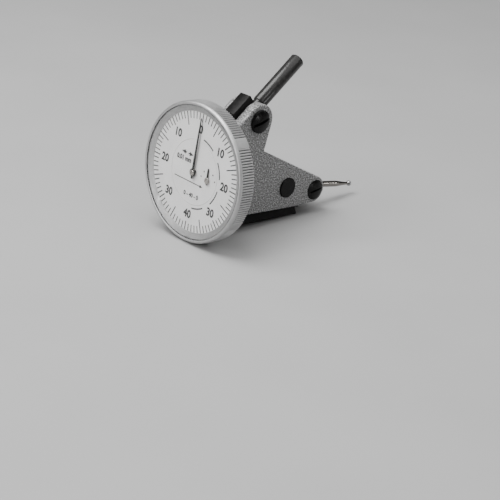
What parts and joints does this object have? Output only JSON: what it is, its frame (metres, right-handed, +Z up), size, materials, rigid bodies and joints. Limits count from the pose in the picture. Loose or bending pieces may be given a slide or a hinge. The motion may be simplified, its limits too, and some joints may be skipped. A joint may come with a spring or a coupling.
{
  "type": "lever dial indicator",
  "caption": "Lever-type dial test indicator with a turning bezel, swinging ball stylus, geared hands, a dovetail rail and a swivelling mounting stem.",
  "frame": {"origin": "centre of the dovetail rail's flat bottom face", "axes": "+X along the dial axis from the dial towards the stylus, +Y across the case, +Z up from the dovetail towards the stem"},
  "size_m": [0.0663, 0.038, 0.0491],
  "materials": {
    "case_paint": "fine speckled grey stoving paint",
    "satin_chrome": "satin chrome plate, straight knurl",
    "inner_flange": "fine turned satin",
    "black_steel": "black-oxide steel, oiled",
    "stem_steel": "polished black-oxide steel",
    "polished_steel": "ground and polished",
    "spring_steel": "tempered spring steel",
    "carbide": "polished",
    "brass": "fine brushed",
    "dial_face": "matt off-white with black graduations",
    "hand_black": "matt black",
    "crystal": "clear acrylic"
  },
  "bodies": {
    "case": {"housing": "case_paint", "dovetail_rail": "black_steel", "rail_screw_1": "black_steel", "rail_screw_2": "black_steel", "bezel_snap_ring": "spring_steel", "centre_disc": "dial_face", "front_plate": "brass", "plate_pillar_1": "brass", "plate_pillar_2": "brass", "plate_pillar_3": "brass", "plate_screw_1": "polished_steel", "plate_screw_2": "polished_steel", "plate_screw_3": "polished_steel", "hairspring": "spring_steel", "hairspring_stud": "brass", "rear_bridge": "brass", "arbor_bush_near": "brass", "arbor_bush_far": "brass", "lever_pivot_screw_near": "black_steel", "lever_pivot_screw_far": "black_steel", "stylus_pivot_screw_near": "black_steel", "stylus_pivot_screw_far": "black_steel", "clamp_nut": "black_steel"},
    "bezel": {"bezel": "satin_chrome", "crystal": "crystal", "flange_ring": "inner_flange", "scale_ring": "dial_face"},
    "hand": {"centre_arbor": "polished_steel", "main_hand": "hand_black", "hand_cap": "polished_steel"},
    "idler": {"counter_idler": "brass"},
    "counter": {"counter_wheel": "brass", "counter_hand": "hand_black"},
    "crown": {"crown_wheel": "brass", "crown_arbor": "polished_steel"},
    "sector": {"sector_lever": "polished_steel", "sector_arbor": "polished_steel"},
    "carrier": {"stylus_carrier": "polished_steel", "stylus_pivot_shaft": "polished_steel", "friction_washer": "spring_steel"},
    "stylus": {"stylus_hub": "black_steel", "stylus_shaft": "polished_steel", "stylus_ball": "carbide"},
    "clamp": {"clamp_screw": "black_steel"},
    "stem": {"knuckle": "black_steel", "stem": "stem_steel"}
  },
  "joints": [
    {"name": "stylus_swing", "type": "hinge", "parent": "case", "child": "carrier", "pos_m": [0.02165, 0, 0.0073], "axis": [0, 1, 0], "range_deg": [-4.5, 4.5], "stiffness_Nm_per_rad": 0.05},
    {"name": "stylus_set", "type": "hinge", "parent": "carrier", "child": "stylus", "pos_m": [0.02165, 0, 0.0073], "axis": [0, 1, 0], "range_deg": [-90, 90]},
    {"name": "sector_swing", "type": "hinge", "parent": "case", "child": "sector", "pos_m": [0.00985, 0, 0.0094], "axis": [0, 1, 0], "range_deg": [-5.4, 5.4]},
    {"name": "crown_turn", "type": "hinge", "parent": "case", "child": "crown", "pos_m": [-0.01135, 0, 0.0159], "axis": [0, 1, 0], "range_deg": [-103, 103]},
    {"name": "hand_turn", "type": "hinge", "parent": "case", "child": "hand", "pos_m": [-0.02195, 0, 0.0159], "axis": [1, 0, 0], "range_deg": [-721, 721]},
    {"name": "idler_turn", "type": "hinge", "parent": "case", "child": "idler", "pos_m": [-0.02195, -0.0025, 0.01366], "axis": [1, 0, 0], "range_deg": [-241, 241]},
    {"name": "counter_turn", "type": "hinge", "parent": "case", "child": "counter", "pos_m": [-0.02195, -0.00547, 0.01523], "axis": [1, 0, 0], "range_deg": [-81, 81]},
    {"name": "bezel_turn", "type": "hinge", "parent": "case", "child": "bezel", "pos_m": [-0.02195, 0, 0.0159], "axis": [1, 0, 0], "continuous": true},
    {"name": "stem_swivel", "type": "hinge", "parent": "case", "child": "stem", "pos_m": [-0.00495, 0, 0.0298], "axis": [0, 1, 0], "range_deg": [-40, 20]},
    {"name": "clamp_turn", "type": "hinge", "parent": "case", "child": "clamp", "pos_m": [-0.00495, 0, 0.0298], "axis": [0, 1, 0], "range_deg": [-90, 90]}
  ],
  "couplings": [
    {"joint": "sector_swing", "follows": "stylus_swing", "ratio": -1.1905},
    {"joint": "crown_turn", "follows": "stylus_swing", "ratio": 22.857},
    {"joint": "hand_turn", "follows": "stylus_swing", "ratio": 160},
    {"joint": "idler_turn", "follows": "stylus_swing", "ratio": -53.333},
    {"joint": "counter_turn", "follows": "stylus_swing", "ratio": 17.778}
  ]
}
